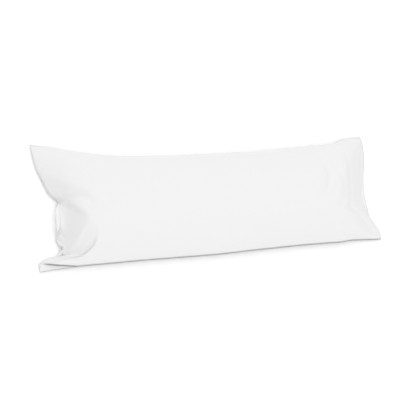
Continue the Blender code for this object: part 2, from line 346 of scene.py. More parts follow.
def beside_line(x, y, ends):
    """Length of a line, and how far along it, off it and past its ends each place is."""
    x0, y0, x1, y1 = ends
    run = np.hypot(x1 - x0, y1 - y0)
    ux, uy = (x1 - x0) / run, (y1 - y0) / run
    on_line = (x - x0) * ux + (y - y0) * uy
    off_line = (y - y0) * ux - (x - x0) * uy
    past_end = np.maximum(np.maximum(-on_line, on_line - run), 0.0)
    return run, on_line, off_line, past_end


def fold_height(x, y, folds):
    """Height added by folds. Each is a slightly bent ridge or valley with soft ends."""
    total = np.zeros_like(x)
    for *ends, half_width, height in folds.values():
        run, on_line, off_line, past_end = beside_line(x, y, ends)
        fade = bump(SHARPNESS_OF_FOLD_ENDS * past_end / run)
        fade = fade * bump(past_end / half_width / FOLD_END_WIDTHS)
        from_middle = np.clip(2.0 * on_line / run - 1.0, -FOLD_BENDS_TO, FOLD_BENDS_TO) ** 2
        bent = off_line / half_width + FOLD_BEND * (from_middle - 0.5)
        taper = 1.0 - FOLD_TAPER * np.minimum(from_middle, 1.0)
        total += height * fade * taper * bump(bent)
    return total


def lower_of(a, b, corner):
    """The lower of two heights, with a corner rounded over about this height."""
    return 0.5 * (a + b - np.sqrt((a - b) ** 2 + corner**2))


def higher_of(a, b, corner):
    """The higher of two heights, with a rounded corner."""
    return -lower_of(-a, -b, corner)


def facet(place, slopes, x, y):
    """Height of a plane of taut cloth through a place, with its slopes along x and y."""
    return place[2] + slopes[0] * (x - place[0]) + slopes[1] * (y - place[1])


def fall_extent(x, y):
    """Where the cloth falls, from 0 to 1, how far inside the round fold, and its raised rim."""
    x0, y0, x1, y1 = FALL_LINE
    run = np.hypot(x1 - x0, y1 - y0)
    below_line = ((x - x0) * (y1 - y0) - (y - y0) * (x1 - x0)) / run
    right = np.maximum(x - FALL_CENTRE[0], 0.0) / FALL_RADII[0]
    left = np.maximum(FALL_CENTRE[0] - x, 0.0)
    dy = np.minimum(y - FALL_CENTRE[1], 0.0) / FALL_RADII[1]
    radius = (right**FALL_ROUNDNESS + np.abs(dy) ** FALL_ROUNDNESS) ** (1.0 / FALL_ROUNDNESS)
    radius = radius * (1.0 + FALL_NARROWS * left)
    inside = ease(0.5 + below_line / FALL_LINE_EDGE) * ease(0.5 + (1.0 - radius) / FALL_EDGE)
    low_side = fade_in(RIM_BELOW, -dy)
    on_rim = bump((radius - 1.0 - FALL_RIM_WIDTH) / FALL_RIM_WIDTH)
    rim = FALL_RIM * low_side * fade_in(RIM_RIGHT_OF, x) * on_rim
    deep = np.maximum(1.0 - radius, 0.0) * FALL_RADII[1]
    groove = FALL_GROOVE * low_side * bump((radius - 1.0 + FALL_GROOVE_WIDTH) / FALL_GROOVE_WIDTH)
    return inside, deep, rim - groove


def roll_top(height, off_middle, past_end):
    """Height of a roll: flat along its crest, steep beside it and past its ends."""
    return height - ROLL_DROP * off_middle**ROLL_FLATNESS - ROLL_END_SLOPE * past_end


def hem_roll(y, from_mouth):
    """Height of the rolled hem's crest, and far below the cloth away from it."""
    y_top, y_low, inner, height = ROLL
    past_end = np.maximum(np.maximum(y - y_top, y_low - y), 0.0)
    inner = ROLL_NARROW_END + (inner - ROLL_NARROW_END) * fade_in(ROLL_NARROWS, y)
    off_middle = np.minimum(np.abs(2.0 * from_mouth / inner - 1.0), ROLL_CUT_OFF)
    return roll_top(height, off_middle, past_end)


def small_rolls(x, y):
    """Height of the small rolls' crests, and far below the cloth away from them."""
    top = np.full_like(x, FAR_BELOW)
    for *ends, half_width, height in SMALL_ROLLS.values():
        _, _, off_line, past_end = beside_line(x, y, ends)
        off_middle = np.minimum(np.abs(off_line) / half_width, ROLL_CUT_OFF)
        top = np.maximum(top, roll_top(height, off_middle, past_end))
    return top


def hem_lean(across, from_mouth):
    """How far the cloth by the mouth leans out over its own edge."""
    up = ease(from_mouth / LEAN_RISE)
    return smooth_along(HEM_LEAN, 1, across) * up * ease(1.0 - from_mouth / LEAN_REACH)


def ledge(from_mouth, across, width):
    """Share of the width once the upper layer starts inside the under layer, and its step up."""
    left = np.clip(1.0 - from_mouth / LEDGE_LENGTH, 0.0, 1.0)
    share = LEDGE_WIDTH * left / width
    past = (across - share) * width
    step = ease(past / LEDGE_RISE) * bump(np.maximum(past, 0.0) / LEDGE_FADE)
    step = step * ease(left / LEDGE_FULL_FROM)
    return np.maximum(across - share, 0.0) / (1.0 - share), step


def front_height(along, across, x, y, length, seam):
    """Height of the front panel above the floor, and the share of the ledge's step."""
    from_mouth = along * length
    from_end = (1.0 - along) * length
    across, step = ledge(from_mouth, across, side_to_side(along))
    crown = (1.0 - np.abs(2.0 * across - 1.0) ** CROWN_FULLNESS) ** CROWN_EDGE
    crown = crown * (1.0 - THINNER_ENDS * (2.0 * along - 1.0) ** 2)
    reach = LEFT_REACH + (LEFT_REACH_BEHIND - LEFT_REACH) * fade_in(BEHIND, across)
    left = rounded(from_mouth / reach, END_FULLNESS, END_EDGE)
    right = rounded(from_end / RIGHT_REACH, END_FULLNESS, END_EDGE)
    body = crown * left * right
    slack = ease(body / FULL_FOLDS_FROM)
    inside, deep, rim = fall_extent(x, y)
    height = seam + CROWN * body
    taut = lower_of(height, facet(END_CREASE, END_SLOPES, x, y), SHOULDER_CORNER)
    height = height + (taut - height) * ease((y - END_CREASE[1]) / END_FADE + 1.0)
    height = height + slack * (rim + fold_height(x, y, FOLDS))
    steep = facet(FALL_CREASE, STEEP_SLOPES, x, y)
    soft = facet(FALL_CREASE, SOFT_SLOPES, x, y)
    fallen = lower_of(steep, soft, FACET_CORNER)
    fallen = fallen + fold_height(x, y, FALL_CREASES)
    fallen = higher_of(fallen, height - FALL_STEP - FALL_WALL * deep, FACET_CORNER)
    fallen = lower_of(height, fallen, SHOULDER_CORNER)
    height = height + (fallen - height) * inside
    height = higher_of(height, hem_roll(y, from_mouth), FACET_CORNER)
    height = higher_of(height, small_rolls(x, y), FACET_CORNER)
    height = higher_of(height, seam + LEAST_ABOVE_SEAM, FACET_CORNER)
    free = ease(from_mouth / FREE_OF_HEM_FROM) * ease(body / FREE_OF_SEAM_FROM)
    step = step * ease(body / FULL_LEDGE_FROM)
    return seam + (height - seam) * free + LEDGE_STEP * step, step


# %% [markdown]
# ## The mouth
#
# The open end has two hems, one on each panel. They lie on each other with a narrow slit between
# them, and the back one shows a little past the front one. Each hem turns in and runs back inside,
# so the slit has real inner faces and the case reads as two layers of cloth from the side.

# %% Points of the panels and of the turned-in hems
HEM_THICKNESS = 0.0035
MOUTH_GAP = 0.005
MOUTH_DEPTH = 0.030
MOUTH_END_MARGIN = 0.012
HEM_TAPER = 0.08
MOUTH_SQUARENESS = 8

# How far the back hem shows past the front one. Share of the width from the front, distance
BACK_HEM_SHOWS = (
    (0.000, 0.000),
    (0.030, 0.003),
    (0.070, 0.007),
    (0.100, 0.007),
    (0.130, 0.000),
    (0.450, 0.000),
    (0.620, 0.007),
    (0.800, 0.001),
    (1.000, 0.000),
)

# Slit from its bottom to its lip: share of its depth, share of its gap that it is open
SLIT = (
    (1.00, 0.0),
    (0.60, 0.9),
    (0.07, 1.0),
)


def hem_lift(across):
    """Half the distance between the outsides of the two hems."""
    open_share = 1.0 - np.abs(2.0 * across - 1.0) ** MOUTH_SQUARENESS
    return (HEM_THICKNESS + MOUTH_GAP / 2) * open_share


def back_hem_shift(across):
    """How far the back hem shows past the front one."""
    return smooth_along(BACK_HEM_SHOWS, 1, across)


def panel_points(along, across, front):
    """Points of one panel, inside the sewn edge and out to the hem."""
    x, y, length = floor_plan(along, across)
    from_mouth = along * length
    from_end = (1.0 - along) * length
    from_side = np.minimum(across, 1.0 - across) * side_to_side(along)
    seam = seam_height(from_mouth, from_end, from_side, across)
    by_mouth = ease(1.0 - from_mouth / HEM_TAPER)
    if front:
        height, step = front_height(along, across, x, y, length, seam)
        z = height + hem_lift(across) * by_mouth
        x = x - hem_lean(across, from_mouth)
        y = y - LEDGE_OVERHANG * step
    else:
        x = x - back_hem_shift(across) * by_mouth
        off_side = ease(from_side / BACK_REACH)
        over_floor = off_side * ease(np.minimum(from_mouth, from_end) / BACK_REACH)
        empty = off_side * ease(1.0 - from_mouth / MOUTH_REACH)
        low = seam - (seam - CORNER_HEIGHT) * empty
        z = (low - hem_lift(across) * by_mouth) * (1.0 - over_floor)
    return np.stack((x + PLAN_SHIFT.x, y + PLAN_SHIFT.y, z), axis=-1)


def mouth_points(across, front):
    """Points of a hem's inner face: the bottom of the slit, its middle and its lip."""
    start = np.zeros_like(across)
    x, y, length = floor_plan(start, across)
    from_side = np.minimum(across, 1.0 - across) * side_to_side(start)
    seam = seam_height(start, length, from_side, across)
    way = 1.0 if front else -1.0
    gap = hem_lift(across) * MOUTH_GAP / (2 * HEM_THICKNESS + MOUTH_GAP)
    middle = y.mean()
    columns = []
    for share, open_share in SLIT:
        inwards = 1.0 - MOUTH_END_MARGIN * share / (y.max() - middle)
        x_here = x + MOUTH_DEPTH * share
        if not front and share == SLIT[-1][0]:
            x_here = x_here - back_hem_shift(across)
        y_here = middle + (y - middle) * inwards
        z_here = seam + way * gap * open_share
        columns.append(np.stack((x_here + PLAN_SHIFT.x, y_here + PLAN_SHIFT.y, z_here), axis=-1))
    return np.stack(columns)


# %% [markdown]
# ## From two flat panels to one closed skin
#
# Both panels are grids of the same number of cells, so sewing them is a matter of using the same
# points along the shared edges. The mesh is made from those grids directly, which keeps the rows
# and columns in the direction of the threads, and the flat cut is kept as a UV map in metres. A
# weave that reads that map follows the cloth wherever it is folded.

# %% Grid of the case
HEM_COLUMNS = 3


def stretched(stretches):
    """Places from 0 to 1 with the cell count of each stretch."""
    places = [np.zeros(1)]
    start = 0.0
    for end, cells in stretches:
        places.append(np.linspace(start, end, cells + 1)[1:])
        start = end
    return np.concatenate(places) / start


def case_points(columns, rows):
    """Points of both panels with their turned-in hems, front first."""
    along, across = np.meshgrid(columns, rows, indexing="ij")
    return np.stack([
        np.concatenate((mouth_points(rows, front), panel_points(along, across, front)))
        for front in (True, False)
    ])


def flat_cut(columns, rows):
    """Where each grid point lies on the flat panels, in metres. Turned-in hems run past zero."""
    hem_places = np.array([-MOUTH_DEPTH * share for share, _ in SLIT])
    places = np.concatenate((hem_places, columns * CUT_LENGTH))
    return np.stack(np.meshgrid(places, rows * CUT_WIDTH, indexing="ij"), axis=-1)


def sewn_indices(count_x, count_y):
    """Point numbers of both panels. The sewn edges and the slit's bottom share theirs."""
    front = np.arange(count_x * count_y).reshape(count_x, count_y)
    back = front + count_x * count_y
    for edge in ((slice(None), 0), (slice(None), -1), (0, slice(None)), (-1, slice(None))):
        back[edge] = front[edge]
    used, renumbered = np.unique(np.stack((front, back)), return_inverse=True)
    return used, renumbered.reshape(2, count_x, count_y)


def panel_faces(numbers, outward_up):
    """Four-sided faces of one panel."""
    corners = (numbers[:-1, :-1], numbers[1:, :-1], numbers[1:, 1:], numbers[:-1, 1:])
    faces = np.stack(corners, axis=-1).reshape(-1, 4)
    return faces if outward_up else faces[:, ::-1]


def case_mesh(name, points, cut):
    """One closed mesh of both panels, and the point numbers of its grids."""
    count_x, count_y = points.shape[1:3]
    used, numbers = sewn_indices(count_x, count_y)
    faces = np.concatenate((panel_faces(numbers[0], True), panel_faces(numbers[1], False)))
    mesh = bpy.data.meshes.new(name)
    mesh.from_pydata(points.reshape(-1, 3)[used].tolist(), [], faces.tolist())
    uv = mesh.uv_layers.new(name="cut")
    places = np.stack((cut, cut)).reshape(-1, 2)[used]
    corner_points = np.empty(len(mesh.loops), dtype=np.int32)
    mesh.loops.foreach_get("vertex_index", corner_points)
    uv.data.foreach_set("uv", places[corner_points].astype(np.float32).ravel())
    mesh.shade_smooth()
    return mesh, numbers


# %% [markdown]
# ## Let the cloth relax
#
# A bag sewn from flat cloth can't follow a crowned form without small puckers along its seams.
# Blender's cloth solver finds them: it starts on the filled shape, is told that every thread wants
# its length on the flat cut, and gets a little pressure from inside. What matters is the puckers,
# so the slow drift of the whole surface is taken out again and only the short waves are kept. The
# resting face and the slit stay pinned, and no point may move further than a few millimetres.

# %% Cloth relaxation on a coarse grid
RELAX_COLUMNS = ((0.30, 50), (1.20, 78), (1.49, 40))
RELAX_ROWS = ((0.51, 64),)
RELAX_FRAMES = 20
CLOTH_PRESSURE = 4.0
MOST_PUCKER = 0.006
PUCKER_GAIN = 0.6
DRIFT_CELLS = 5
# Share of the puckers that stays on the taut face, how far the seams draw the cloth up, and how
# far in from the mouth the stiff hem keeps it smooth
PUCKER_ON_FACE = 0.12
PUCKER_REACH = 0.075
SEAM_KEEPS = 0.2
SEAM_STIFF = 0.015
SMOOTH_HEM = 0.09
# Points lower than this rest on the floor, and the flat panels lie this far off the middle
RESTS_BELOW = 0.001
PANEL_OFF_MIDDLE = 0.001


def in_scene(name, data):
    """An object of this data, linked into the scene."""
    made = bpy.data.objects.new(name, data)
    bpy.context.scene.collection.objects.link(made)
    return made


def coordinates(mesh):
    """The points of a mesh as rows of x, y and z."""
    flat = np.empty(len(mesh.vertices) * 3)
    mesh.vertices.foreach_get("co", flat)
    return flat.reshape(-1, 3)


def blurred(values, cells):
    """Running mean over a grid, three times along each of its first two axes."""
    for axis in (0, 1):
        for _ in range(3):
            pad = [(0, 0)] * values.ndim
            pad[axis] = (cells, cells)
            padded = np.pad(values, pad, mode="edge")
            total = np.cumsum(padded, axis=axis)
            nothing = np.zeros_like(np.take(total, [0], axis=axis))
            total = np.concatenate((nothing, total), axis=axis)
            size = values.shape[axis]
            window = 2 * cells + 1
            upper = np.take(total, np.arange(window, window + size), axis=axis)
            lower = np.take(total, np.arange(size), axis=axis)
            values = (upper - lower) / window
    return values


def relaxed_case(columns, rows):
    """How far each grid point of both panels moves once the cloth has relaxed."""
    points = case_points(columns, rows)
    cut = flat_cut(columns, rows)
    mesh, numbers = case_mesh("relaxing_case", points, cut)
    piece = in_scene("relaxing_case", mesh)
    start = coordinates(mesh)

    piece.shape_key_add(name="Basis")
    flat = piece.shape_key_add(name="flat cut")
    flat_points = start.copy()
    for panel, side in ((0, 1.0), (1, -1.0)):
        flat_points[numbers[panel][HEM_COLUMNS:], :2] = cut[HEM_COLUMNS:]
        flat_points[numbers[panel][HEM_COLUMNS:], 2] = side * PANEL_OFF_MIDDLE
    flat.data.foreach_set("co", flat_points.ravel())

    pins = piece.vertex_groups.new(name="held")
    held = set(numbers[:, : HEM_COLUMNS + 1].ravel().tolist())
    held |= set(np.nonzero(start[:, 2] < RESTS_BELOW)[0].tolist())
    pins.add(sorted(held), 1.0, "REPLACE")

    cloth = piece.modifiers.new("relax", "CLOTH")
    settings = cloth.settings
    settings.quality = 5
    settings.mass = 0.2
    settings.tension_stiffness = 30.0
    settings.compression_stiffness = 30.0
    settings.shear_stiffness = 8.0
    settings.bending_stiffness = 0.3
    settings.air_damping = 4.0
    settings.use_pressure = True
    settings.uniform_pressure_force = CLOTH_PRESSURE
    settings.effector_weights.gravity = 0.0
    settings.vertex_group_mass = "held"
    settings.rest_shape_key = flat
    cloth.collision_settings.use_collision = False
    cloth.point_cache.frame_start = 1
    cloth.point_cache.frame_end = RELAX_FRAMES
    scene = bpy.context.scene
    for step in range(1, RELAX_FRAMES + 1):
        scene.frame_set(step)
    evaluated = piece.evaluated_get(bpy.context.evaluated_depsgraph_get())
    moved = coordinates(evaluated.data) - start
    scene.frame_set(1)
    bpy.data.objects.remove(piece)
    bpy.data.meshes.remove(mesh)
    return moved[numbers], numbers


def puckers(columns, rows):
    """Short waves of the relaxed cloth, on the grid of both panels without the hems' insides."""
    moved, numbers = relaxed_case(columns, rows)
    moved = moved[:, HEM_COLUMNS:]
    short = np.stack([panel - blurred(panel, DRIFT_CELLS) for panel in moved])
    size = np.linalg.norm(short, axis=-1, keepdims=True)
    most = float(np.linalg.norm(moved, axis=-1).max())
    print("cloth moved", round(most * 1000, 1), "mm at most,",
          "short waves", round(float(size.max()) * 1000, 1), "mm")
    short = short * PUCKER_GAIN * MOST_PUCKER / np.maximum(size * PUCKER_GAIN, MOST_PUCKER)
    both = (short[0] + short[1]) / 2
    for edge in ((slice(None), 0), (slice(None), -1), (-1, slice(None))):
        short[(slice(None), *edge)] = both[edge]
    short[:, 0] = 0.0
    return short


def pucker_share(columns, rows, front):
    """Share of the puckers that each place keeps: most by the seams, none on a fall of cloth."""
    along, across = np.meshgrid(columns, rows, indexing="ij")
    x, y, length = floor_plan(along, across)
    from_side = np.minimum(across, 1.0 - across) * side_to_side(along)
    from_edge = np.minimum(from_side, (1.0 - along) * length)
    by_seam = ease(1.0 - from_edge / PUCKER_REACH)
    share = PUCKER_ON_FACE + (1.0 - PUCKER_ON_FACE) * by_seam
    share = share * ease(along * length / SMOOTH_HEM)
    share = share * (SEAM_KEEPS + (1.0 - SEAM_KEEPS) * ease(from_edge / SEAM_STIFF))
    if front:
        share = share * (1.0 - fall_extent(x, y)[0])
    return share[..., None]


relax_columns = stretched(RELAX_COLUMNS)
relax_rows = stretched(RELAX_ROWS)
pucker_field = puckers(relax_columns, relax_rows)

# %% The fine case
FINE_COLUMNS = ((0.012, 8), (0.13, 58), (0.30, 50), (1.20, 118), (1.49, 76))
FINE_ROWS = ((0.03, 12), (0.12, 40), (0.48, 88), (0.51, 8))


def spread_over(field, from_columns, from_rows, to_columns, to_rows):
    """The field of one panel, read at the places of a finer grid."""
    along = np.empty((len(to_columns), field.shape[1], 3))
    for row in range(field.shape[1]):
        for axis in range(3):
            along[:, row, axis] = np.interp(to_columns, from_columns, field[:, row, axis])
    full = np.empty((len(to_columns), len(to_rows), 3))
    for column in range(len(to_columns)):
        for axis in range(3):
            full[column, :, axis] = np.interp(to_rows, from_rows, along[column, :, axis])
    return full


fine_columns = stretched(FINE_COLUMNS)
fine_rows = stretched(FINE_ROWS)
fine_points = case_points(fine_columns, fine_rows)
for panel in (0, 1):
    waves = spread_over(pucker_field[panel], relax_columns, relax_rows, fine_columns, fine_rows)
    waves = waves * pucker_share(fine_columns, fine_rows, panel == 0)
    resting = fine_points[panel, HEM_COLUMNS:, :, 2:] < RESTS_BELOW
    fine_points[panel, HEM_COLUMNS:] += np.where(resting, 0.0, waves)
fine_points[..., 2] = np.maximum(fine_points[..., 2], 0.0)
case_data, case_numbers = case_mesh("pillow_case", fine_points, flat_cut(fine_columns, fine_rows))
pillow_case = in_scene("pillow_case", case_data)
print("pillow_case", len(case_data.vertices), "points,", 2 * len(case_data.polygons), "triangles")

# %% [markdown]
# ## Cotton cloth
#
# The case is plain woven cotton: fine threads over and under each other, a little uneven, matt
# with a faint sheen at grazing angles. The weave is a pattern on the cut's UV map, so it runs with
# the cloth. One node group makes the threads and is used by every material of woven or spun yarn.

# %% Weave group
THREAD_SPACING = 0.00045
WEAVE_DEPTH = 0.00006
SLUBS = {"Scale": 260.0, "Detail": 2.0}
SLUB_SHARE = 0.3
THREAD_RISE = 0.5
THREAD_TONE = 0.3


def put(tree, socket, source):
    """Gives an input its value, or links another node's output to it."""
    if isinstance(source, bpy.types.NodeSocket):
        tree.links.new(source, socket)
    else:
        socket.default_value = source


def new_node(tree, kind, **inputs):
    """A node with some of its inputs given, by the names that they have on the node."""
    node = tree.nodes.new(kind)
    for label, source in inputs.items():
        put(tree, node.inputs[label], source)
    return node


def new_group(name, inputs, outputs):
    """An empty shader group with float or vector inputs and float outputs."""
    group = bpy.data.node_groups.new(name, "ShaderNodeTree")
    for label, kind, value in inputs:
        socket = group.interface.new_socket(label, in_out="INPUT", socket_type=kind)
        if kind == "NodeSocketFloat":
            socket.default_value = value
    for label in outputs:
        group.interface.new_socket(label, in_out="OUTPUT", socket_type="NodeSocketFloat")
    entry = group.nodes.new("NodeGroupInput")
    leave = group.nodes.new("NodeGroupOutput")
    return group, entry, leave


def math_node(tree, operation, first, second=None):
    """A Math node whose inputs are numbers or sockets."""
    node = tree.nodes.new("ShaderNodeMath")
    node.operation = operation
    for socket, value in zip(node.inputs, (first, second)):
        if value is not None:
            put(tree, socket, value)
    return node.outputs[0]


def woven_threads():
    """Height and tone of a plain weave. Its inputs are the cut place and the thread spacing."""
    inputs = (
        ("Place", "NodeSocketVector", None),
        ("Spacing", "NodeSocketFloat", THREAD_SPACING),
        ("Unevenness", "NodeSocketFloat", SLUB_SHARE),
    )
    group, entry, leave = new_group("woven threads", inputs, ("Height", "Tone"))
    place = entry.outputs["Place"]
    parts = new_node(group, "ShaderNodeSeparateXYZ", Vector=place)
    slub = new_node(group, "ShaderNodeTexNoise", Vector=place, **SLUBS)
    turns = math_node(group, "DIVIDE", np.pi, entry.outputs["Spacing"])
    warp = math_node(group, "SINE", math_node(group, "MULTIPLY", parts.outputs["X"], turns))
    weft = math_node(group, "SINE", math_node(group, "MULTIPLY", parts.outputs["Y"], turns))
    crossing = math_node(group, "MULTIPLY", warp, weft)
    over = math_node(group, "MULTIPLY", crossing, THREAD_RISE)
    uneven = math_node(group, "MULTIPLY", slub.outputs[0], entry.outputs["Unevenness"])
    put(group, leave.inputs["Height"], math_node(group, "ADD", over, uneven))
    tone = math_node(group, "MULTIPLY", over, THREAD_TONE)
    put(group, leave.inputs["Tone"], math_node(group, "ADD", tone, slub.outputs[0]))
    return group


weave_group = woven_threads()

# %% [markdown]
# ## Sewn lines
#
# A seam shows even where the needle holes are too small to see: the two layers draw in along it,
# the cloth puckers on both sides, and the crease keeps a thin shadow, most of all along the front,
# where the case meets the floor. The crease is narrower than the mesh, so its shadow is painted
# into the cloth's colour as painted shade: a dark line along the front seam, which by the front
# corner runs at the foot of the upper layer with a fainter line at the edge below it, and a fainter
# line still along the other seams. The hem's line of stitches draws in and puckers more gently,
# with no painted shade. Modelling each pucker would need millions of faces, so a node group works
# them out from the distance to the sewn lines on the flat cut, and gives a height for the bump and
# a mask for the painted shade.

# %% Sewn lines group
HEM_STITCH = 0.024
SEAM_HALF_WIDTH = 0.0030
# The next four values and the other seams' share set the painted shade: the crease shadow, drawn as
# a dark line in the cloth's colour.
FRONT_CREASE_SHADOW = 0.0026
CREASE_SHADOW_FROM = 0.035
FOOT_OF_LEDGE = 0.003
OUTER_LINE_SHADE = 0.35
STITCH_HALF_WIDTH = 0.0016
SEAM_PUCKER_REACH = 0.014
STITCH_PUCKER_REACH = 0.006
OTHER_SEAM_SHADE = 0.25
STITCH_DIP = 0.5
WRINKLES = {"Scale": 130.0, "Detail": 1.5}


def falloff(tree, distance, reach):
    """A Gaussian of a distance socket: 1 on the line, near 0 past twice the reach."""
    ratio = math_node(tree, "DIVIDE", distance, reach)
    square = math_node(tree, "MULTIPLY", ratio, ratio)
    return math_node(tree, "EXPONENT", math_node(tree, "MULTIPLY", square, -1.0))


def sewn_lines():
    """Height of seams and puckers, and the mask of their painted shade, from the place on the flat
    cut.
    """
    inputs = (("Place", "NodeSocketVector", None),)
    group, entry, leave = new_group("sewn lines", inputs, ("Height", "Shade"))

    def calc(operation, first, second=None):
        """A Math node of this group."""
        return math_node(group, operation, first, second)

    place = entry.outputs["Place"]
    parts = new_node(group, "ShaderNodeSeparateXYZ", Vector=place)
    along, across = parts.outputs["X"], parts.outputs["Y"]
    to_side = calc("MINIMUM", across, calc("SUBTRACT", CUT_WIDTH, across))
    to_seam = calc("MINIMUM", to_side, calc("SUBTRACT", CUT_LENGTH, along))
    to_stitch = calc("ABSOLUTE", calc("SUBTRACT", along, HEM_STITCH))
    on_seam = falloff(group, to_seam, SEAM_HALF_WIDTH)
    on_stitch = falloff(group, to_stitch, STITCH_HALF_WIDTH)
    by_seam = falloff(group, to_seam, SEAM_PUCKER_REACH)
    by_stitch = falloff(group, to_stitch, STITCH_PUCKER_REACH)
    wrinkles = new_node(group, "ShaderNodeTexNoise", Vector=place, **WRINKLES)
    pucker = calc("MULTIPLY", wrinkles.outputs[0], calc("ADD", by_seam, by_stitch))
    dip = calc("ADD", on_seam, calc("MULTIPLY", on_stitch, STITCH_DIP))
    put(group, leave.inputs["Height"], calc("SUBTRACT", pucker, dip))

    # Painted shade: a dark line of crease shadow along the front seam, faded in from the mouth and
    # moved in to the foot of the ledge by the front corner, a fainter one at the seam's edge there,
    # and a fainter one still along the other seams.
    off_mouth = calc("DIVIDE", along, LEDGE_LENGTH)
    ledge_left = calc("MAXIMUM", calc("SUBTRACT", 1.0, off_mouth), 0.0)
    foot_line = calc("MULTIPLY", ledge_left, LEDGE_WIDTH - FOOT_OF_LEDGE)
    to_foot = calc("SUBTRACT", across, foot_line)
    clear = calc("MINIMUM", calc("DIVIDE", along, CREASE_SHADOW_FROM), 1.0)
    clear = calc("MAXIMUM", clear, 0.0)
    foot = calc("MULTIPLY", falloff(group, to_foot, FRONT_CREASE_SHADOW), clear)
    outer = calc("MULTIPLY", falloff(group, across, FRONT_CREASE_SHADOW), OUTER_LINE_SHADE)
    others = calc("MULTIPLY", on_seam, OTHER_SEAM_SHADE)
    shade = calc("MAXIMUM", foot, calc("MAXIMUM", outer, others))
    put(group, leave.inputs["Shade"], shade)
    return group


sewn_group = sewn_lines()
print("sewn lines", HEM_STITCH, "m from the mouth and along three edges")

# %% White cotton material
COTTON_WHITE = (0.775, 0.775, 0.777, 1.0)
COTTON_SHADE = (0.745, 0.745, 0.75, 1.0)
# Painted shade: the dark colour of the crease shadow along the seams
CREASE_SHADE = (0.28, 0.28, 0.285, 1.0)
COTTON_FINISH = {
    "Roughness": 0.85,
    "Specular IOR Level": 0.25,
    "Sheen Weight": 0.12,
    "Sheen Roughness": 0.45,
}
RUMPLES = {"Scale": 22.0, "Detail": 3.0, "Roughness": 0.45}
RUMPLE_BUMP = {"Strength": 0.2, "Distance": 0.0012}
SEAM_BUMP = {"Strength": 0.6, "Distance": 0.0008}
WEAVE_BUMP = {"Strength": 0.5, "Distance": WEAVE_DEPTH}


def new_material(name, finish):
    """A material whose shader has this finish, with its tree and its shader."""
    material = bpy.data.materials.new(name)
    material.use_nodes = True
    shader = material.node_tree.nodes["Principled BSDF"]
    for label, value in finish.items():
        shader.inputs[label].default_value = value
    return material, material.node_tree, shader


def group_node(tree, group, **inputs):
    """A node that runs one of the groups, with some of its inputs given."""
    node = tree.nodes.new("ShaderNodeGroup")
    node.node_tree = group
    for label, source in inputs.items():
        put(tree, node.inputs[label], source)
    return node


def mixed(tree, share, first, second):
    """A colour between two, by a share. Each is a value or a socket."""
    node = tree.nodes.new("ShaderNodeMix")
    node.data_type = "RGBA"
    # Its inputs share their names, so they go by number: 6 and 7 are the two colours
    for index, source in ((0, share), (6, first), (7, second)):
        put(tree, node.inputs[index], source)
    return node.outputs[2]


def cotton_material():
    """Matt white cotton with threads, slubs and soft rumples, and crease shadow painted along its
    seams.
    """
    material, tree, shader = new_material("white_cotton", COTTON_FINISH)
    cut = tree.nodes.new("ShaderNodeUVMap")
    cut.uv_map = "cut"
    place = cut.outputs[0]
    weave = group_node(tree, weave_group, Place=place)
    sewn = group_node(tree, sewn_group, Place=place)
    colour = mixed(tree, weave.outputs["Tone"], COTTON_SHADE, COTTON_WHITE)
    # Painted shade: the sewn lines' mask darkens the colour towards the crease shadow's colour
    with_painted_shade = mixed(tree, sewn.outputs["Shade"], colour, CREASE_SHADE)
    put(tree, shader.inputs["Base Color"], with_painted_shade)

    rumple = new_node(tree, "ShaderNodeTexNoise", Vector=place, **RUMPLES)
    soft = new_node(tree, "ShaderNodeBump", Height=rumple.outputs[0], **RUMPLE_BUMP)
    seams = new_node(tree, "ShaderNodeBump", Height=sewn.outputs["Height"],
                     Normal=soft.outputs[0], **SEAM_BUMP)
    threads = new_node(tree, "ShaderNodeBump", Height=weave.outputs["Height"],
                       Normal=seams.outputs[0], **WEAVE_BUMP)
    put(tree, shader.inputs["Normal"], threads.outputs[0])
    return material


cotton = cotton_material()
case_data.materials.append(cotton)
print("white_cotton nodes", len(cotton.node_tree.nodes))

# %% [markdown]
# ## Stitches of the hems
#
# Each hem is held by one line of lockstitches. They could be painted, but a painted line is flat
# and falls apart in a close view. Stitches are the same small thing repeated along a line, so
# Geometry Nodes place them: the line is divided by the pitch, one short spindle of thread is put
# on each point, turned along the line and flat to the cloth, and all are made real at the end.

# %% Thread material
THREAD_FINISH = {"Roughness": 0.55, "Specular IOR Level": 0.4, "Sheen Weight": 0.1}
THREAD_WHITE = (0.82, 0.82, 0.82, 1.0)
TWIST_BUMP = {"Strength": 0.4, "Distance": WEAVE_DEPTH}


def thread_material():
    """White sewing thread: a little glossier than the cloth, with the twist of its plies."""
    material, tree, shader = new_material("white_thread", THREAD_FINISH)
    place = tree.nodes.new("ShaderNodeTexCoord").outputs["Object"]
    plies = group_node(tree, weave_group, Place=place, Spacing=THREAD_SPACING / 2)
    colour = mixed(tree, plies.outputs["Tone"], COTTON_SHADE, THREAD_WHITE)
    put(tree, shader.inputs["Base Color"], colour)
    twist = new_node(tree, "ShaderNodeBump", Height=plies.outputs["Height"], **TWIST_BUMP)
    put(tree, shader.inputs["Normal"], twist.outputs[0])
    return material


# %% Lines that the stitches follow
STITCH_LIFT = 0.00015
LOWEST_STITCH = 0.0004


def stitch_line(panel):
    """Points of one hem's line of stitches, and the direction out of the cloth at each."""
    points = fine_points[panel, HEM_COLUMNS:]
    distance = fine_columns * CUT_LENGTH
    column = int(np.searchsorted(distance, HEM_STITCH))
    share = (HEM_STITCH - distance[column - 1]) / (distance[column] - distance[column - 1])
    line = points[column - 1] * (1.0 - share) + points[column] * share
    out = np.cross(points[column] - points[column - 1], np.gradient(line, axis=0))
    out = out * (1.0 if panel == 0 else -1.0)
    out = out / np.maximum(np.linalg.norm(out, axis=1, keepdims=True), 1e-9)
    line = line + STITCH_LIFT * out
    line[:, 2] = np.maximum(line[:, 2], LOWEST_STITCH)
    return line[1:-1], out[1:-1]


